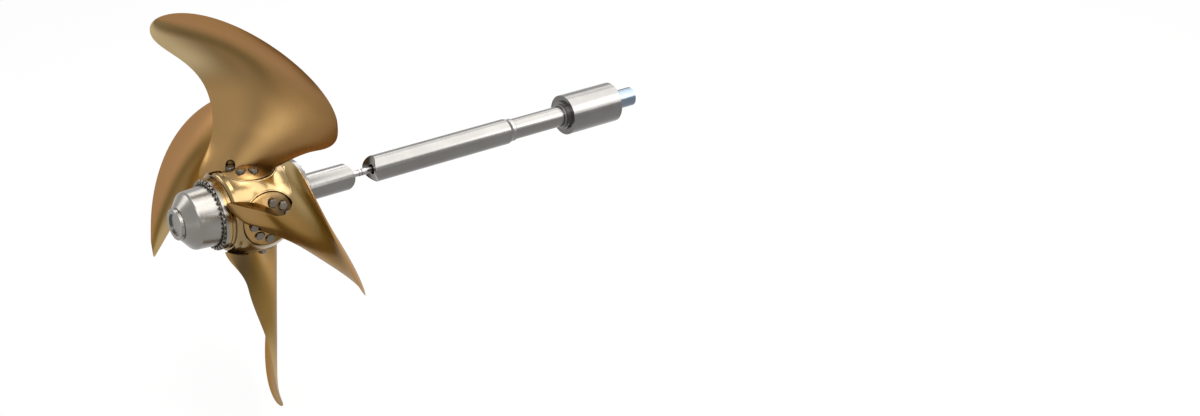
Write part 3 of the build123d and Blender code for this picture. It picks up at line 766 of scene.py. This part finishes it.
def port_lips():
    """Low turned lip on the hub round each port, which catches the light as a thin ring."""
    hub = nodes["hub_body"].data
    vertices = [vertex.co for vertex in hub.vertices]
    hub_surface = BVHTree.FromPolygons(vertices, [face.vertices for face in hub.polygons])
    side_top = LIP_HEIGHT - LIP_EDGE
    profile = (
        (LIP_INNER, -LIP_SUNK), (LIP_INNER, side_top), (LIP_INNER + LIP_EDGE, LIP_HEIGHT),
        (LIP_OUTER - LIP_EDGE, LIP_HEIGHT), (LIP_OUTER, side_top), (LIP_OUTER, -LIP_SUNK),
    )
    above_hub, down = Vector((HUB_X, 0, 1)), Vector((0, 0, -1))
    work = bmesh.new()
    for number in range(4):
        turn = Matrix.Rotation(math.pi / 2 * number, 4, "X")
        rings = []
        for step in range(LIP_STEPS):
            angle = 2 * math.pi * step / LIP_STEPS
            out = Vector((math.cos(angle), math.sin(angle), 0))
            ring = []
            for radius, rise in profile:
                on_hub = hub_surface.ray_cast(above_hub + out * radius, down)[0]
                ring.append(work.verts.new(turn @ (on_hub - down * rise)))
            rings.append(ring)
        for ring, following in zip(rings, rings[1:] + rings[:1]):
            belt(work, ring, following)
    bmesh.ops.recalc_face_normals(work, faces=work.faces)
    mesh = mesh_from("port_lips", work, finishes["hub_bronze"])
    smooth(mesh)
    piece = placed("port_lips", mesh)
    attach(piece, "hub_and_shaft")


# Camera, floor and light

def camera():
    """Camera with the place, turn and lens that were solved from the photograph."""
    data = bpy.data.cameras.new("camera")
    data.lens = LENS_MM
    data.sensor_width = SENSOR_MM
    data.sensor_fit = "HORIZONTAL"
    data.clip_end = CAMERA_SEES_TO
    piece = placed("camera", data)
    piece.location = CAMERA_PLACE
    piece.rotation_euler = [math.radians(angle) for angle in CAMERA_TURN_DEG]
    bpy.context.scene.camera = piece


def seen_or_mirrored(tree):
    """One for what the camera sees straight, in a mirror finish or through glass, none for plain light."""
    ray = add(tree, "ShaderNodeLightPath").outputs
    seen = ray["Is Camera Ray"]
    for kind in ("Is Glossy Ray", "Is Transmission Ray"):
        seen = add(tree, "ShaderNodeMath", {"operation": "MAXIMUM"}, {0: seen, 1: ray[kind]}).outputs[0]
    return seen


def floor():
    """Pale studio floor, shown nearly white to the camera with the shadow left in."""
    half = FLOOR_HALF_WIDTH
    corners = [(x, y, FLOOR_Z) for x, y in ((-half, -half), (half, -half), (half, half), (-half, half))]
    mesh = bpy.data.meshes.new("floor")
    mesh.from_pydata(corners, [], [(0, 1, 2, 3)])
    material, tree = new_material("pale_studio_floor")
    paint = add(tree, "ShaderNodeBsdfPrincipled", None, {"Base Color": "#D9D8D6", "Roughness": 0.8})
    white = add(tree, "ShaderNodeEmission", None, {"Color": "#FFFFFF", "Strength": 1.0})
    seen = seen_or_mirrored(tree)
    share = add(tree, "ShaderNodeMath", {"operation": "MULTIPLY"}, {0: seen, 1: FLOOR_WHITENESS})
    both = add(tree, "ShaderNodeMixShader", None, {
        0: share.outputs[0], 1: paint.outputs[0], 2: white.outputs[0],
    })
    add(tree, "ShaderNodeOutputMaterial", None, {"Surface": both.outputs[0]})
    mesh.materials.append(material)
    placed("floor", mesh)


def world():
    """White backdrop, with plain light that is a little softer from the sides than from above."""
    made = bpy.data.worlds.new("studio")
    made.use_nodes = True
    tree = made.node_tree
    tree.nodes.clear()
    place = add(tree, "ShaderNodeTexCoord").outputs["Generated"]
    up = add(tree, "ShaderNodeSeparateXYZ", None, {0: place}).outputs["Z"]
    studio = layered(tree, "#9C9A98", ("#DDDDDD", ramped(tree, (up, -0.1, 0.9, 0.0, 1.0))))
    colour = layered(tree, studio, ("#FFFFFF", seen_or_mirrored(tree)))
    background = add(tree, "ShaderNodeBackground", None, {"Color": colour, "Strength": 1.0})
    add(tree, "ShaderNodeOutputWorld", None, {"Surface": background.outputs[0]})
    bpy.context.scene.world = made


def soft_box(name, place, target, width, height, power):
    """Area lamp aimed at a point."""
    data = bpy.data.lights.new(name, "AREA")
    data.shape = "RECTANGLE"
    data.size = width
    data.size_y = height
    data.energy = power
    piece = placed(name, data)
    piece.location = place
    aim = Vector(target) - Vector(place)
    piece.rotation_euler = aim.to_track_quat("-Z", "Y").to_euler()


def lights():
    """Soft boxes aimed at the hub and cap, and two beyond the shaft that it mirrors to the camera."""
    hub = (HUB_X, 0, 0)
    beyond_shaft = (4.0, 0, 0)
    soft_box("front_key", (HUB_X - 2.4, -5.4, 7.0), hub, 6.0, 4.5, 340)
    soft_box("top", (HUB_X + 0.3, 0.01, 9.3), hub, 4.5, 4.5, 220)
    soft_box("back", (HUB_X + 3.0, 5.4, 7.0), hub, 4.5, 4.5, 220)
    soft_box("shaft_above", (4.0, -2.4, 7.7), beyond_shaft, 8.4, 14.3, 1700)
    soft_box("shaft_back", (4.0, 5.5, 6.6), beyond_shaft, 8.4, 4.0, 300)
    soft_box("cap_side", (HUB_X + 1.3, -3.4, 7.3), (HUB_X - 0.7, 0, 0), 2.6, 8.0, 260)
    soft_box("right_side", (HUB_X + 8.0, -3.9, 3.1), hub, 3.4, 3.4, 150)
    soft_box("front_low", (HUB_X + 3.0, -8.1, 3.1), hub, 3.4, 3.4, 150)
    soft_box("aft_left", (HUB_X - 5.4, 5.9, 4.2), hub, 3.4, 3.4, 130)
    soft_box("aft_low", (HUB_X - 8.2, -3.8, -0.6), (HUB_X, 0, 0.8), 2.4, 2.4, 17)


dress_nodes()
fasteners()
blades()
port_lips()
camera()
floor()
world()
lights()
bpy.context.scene.view_settings.view_transform = "Standard"
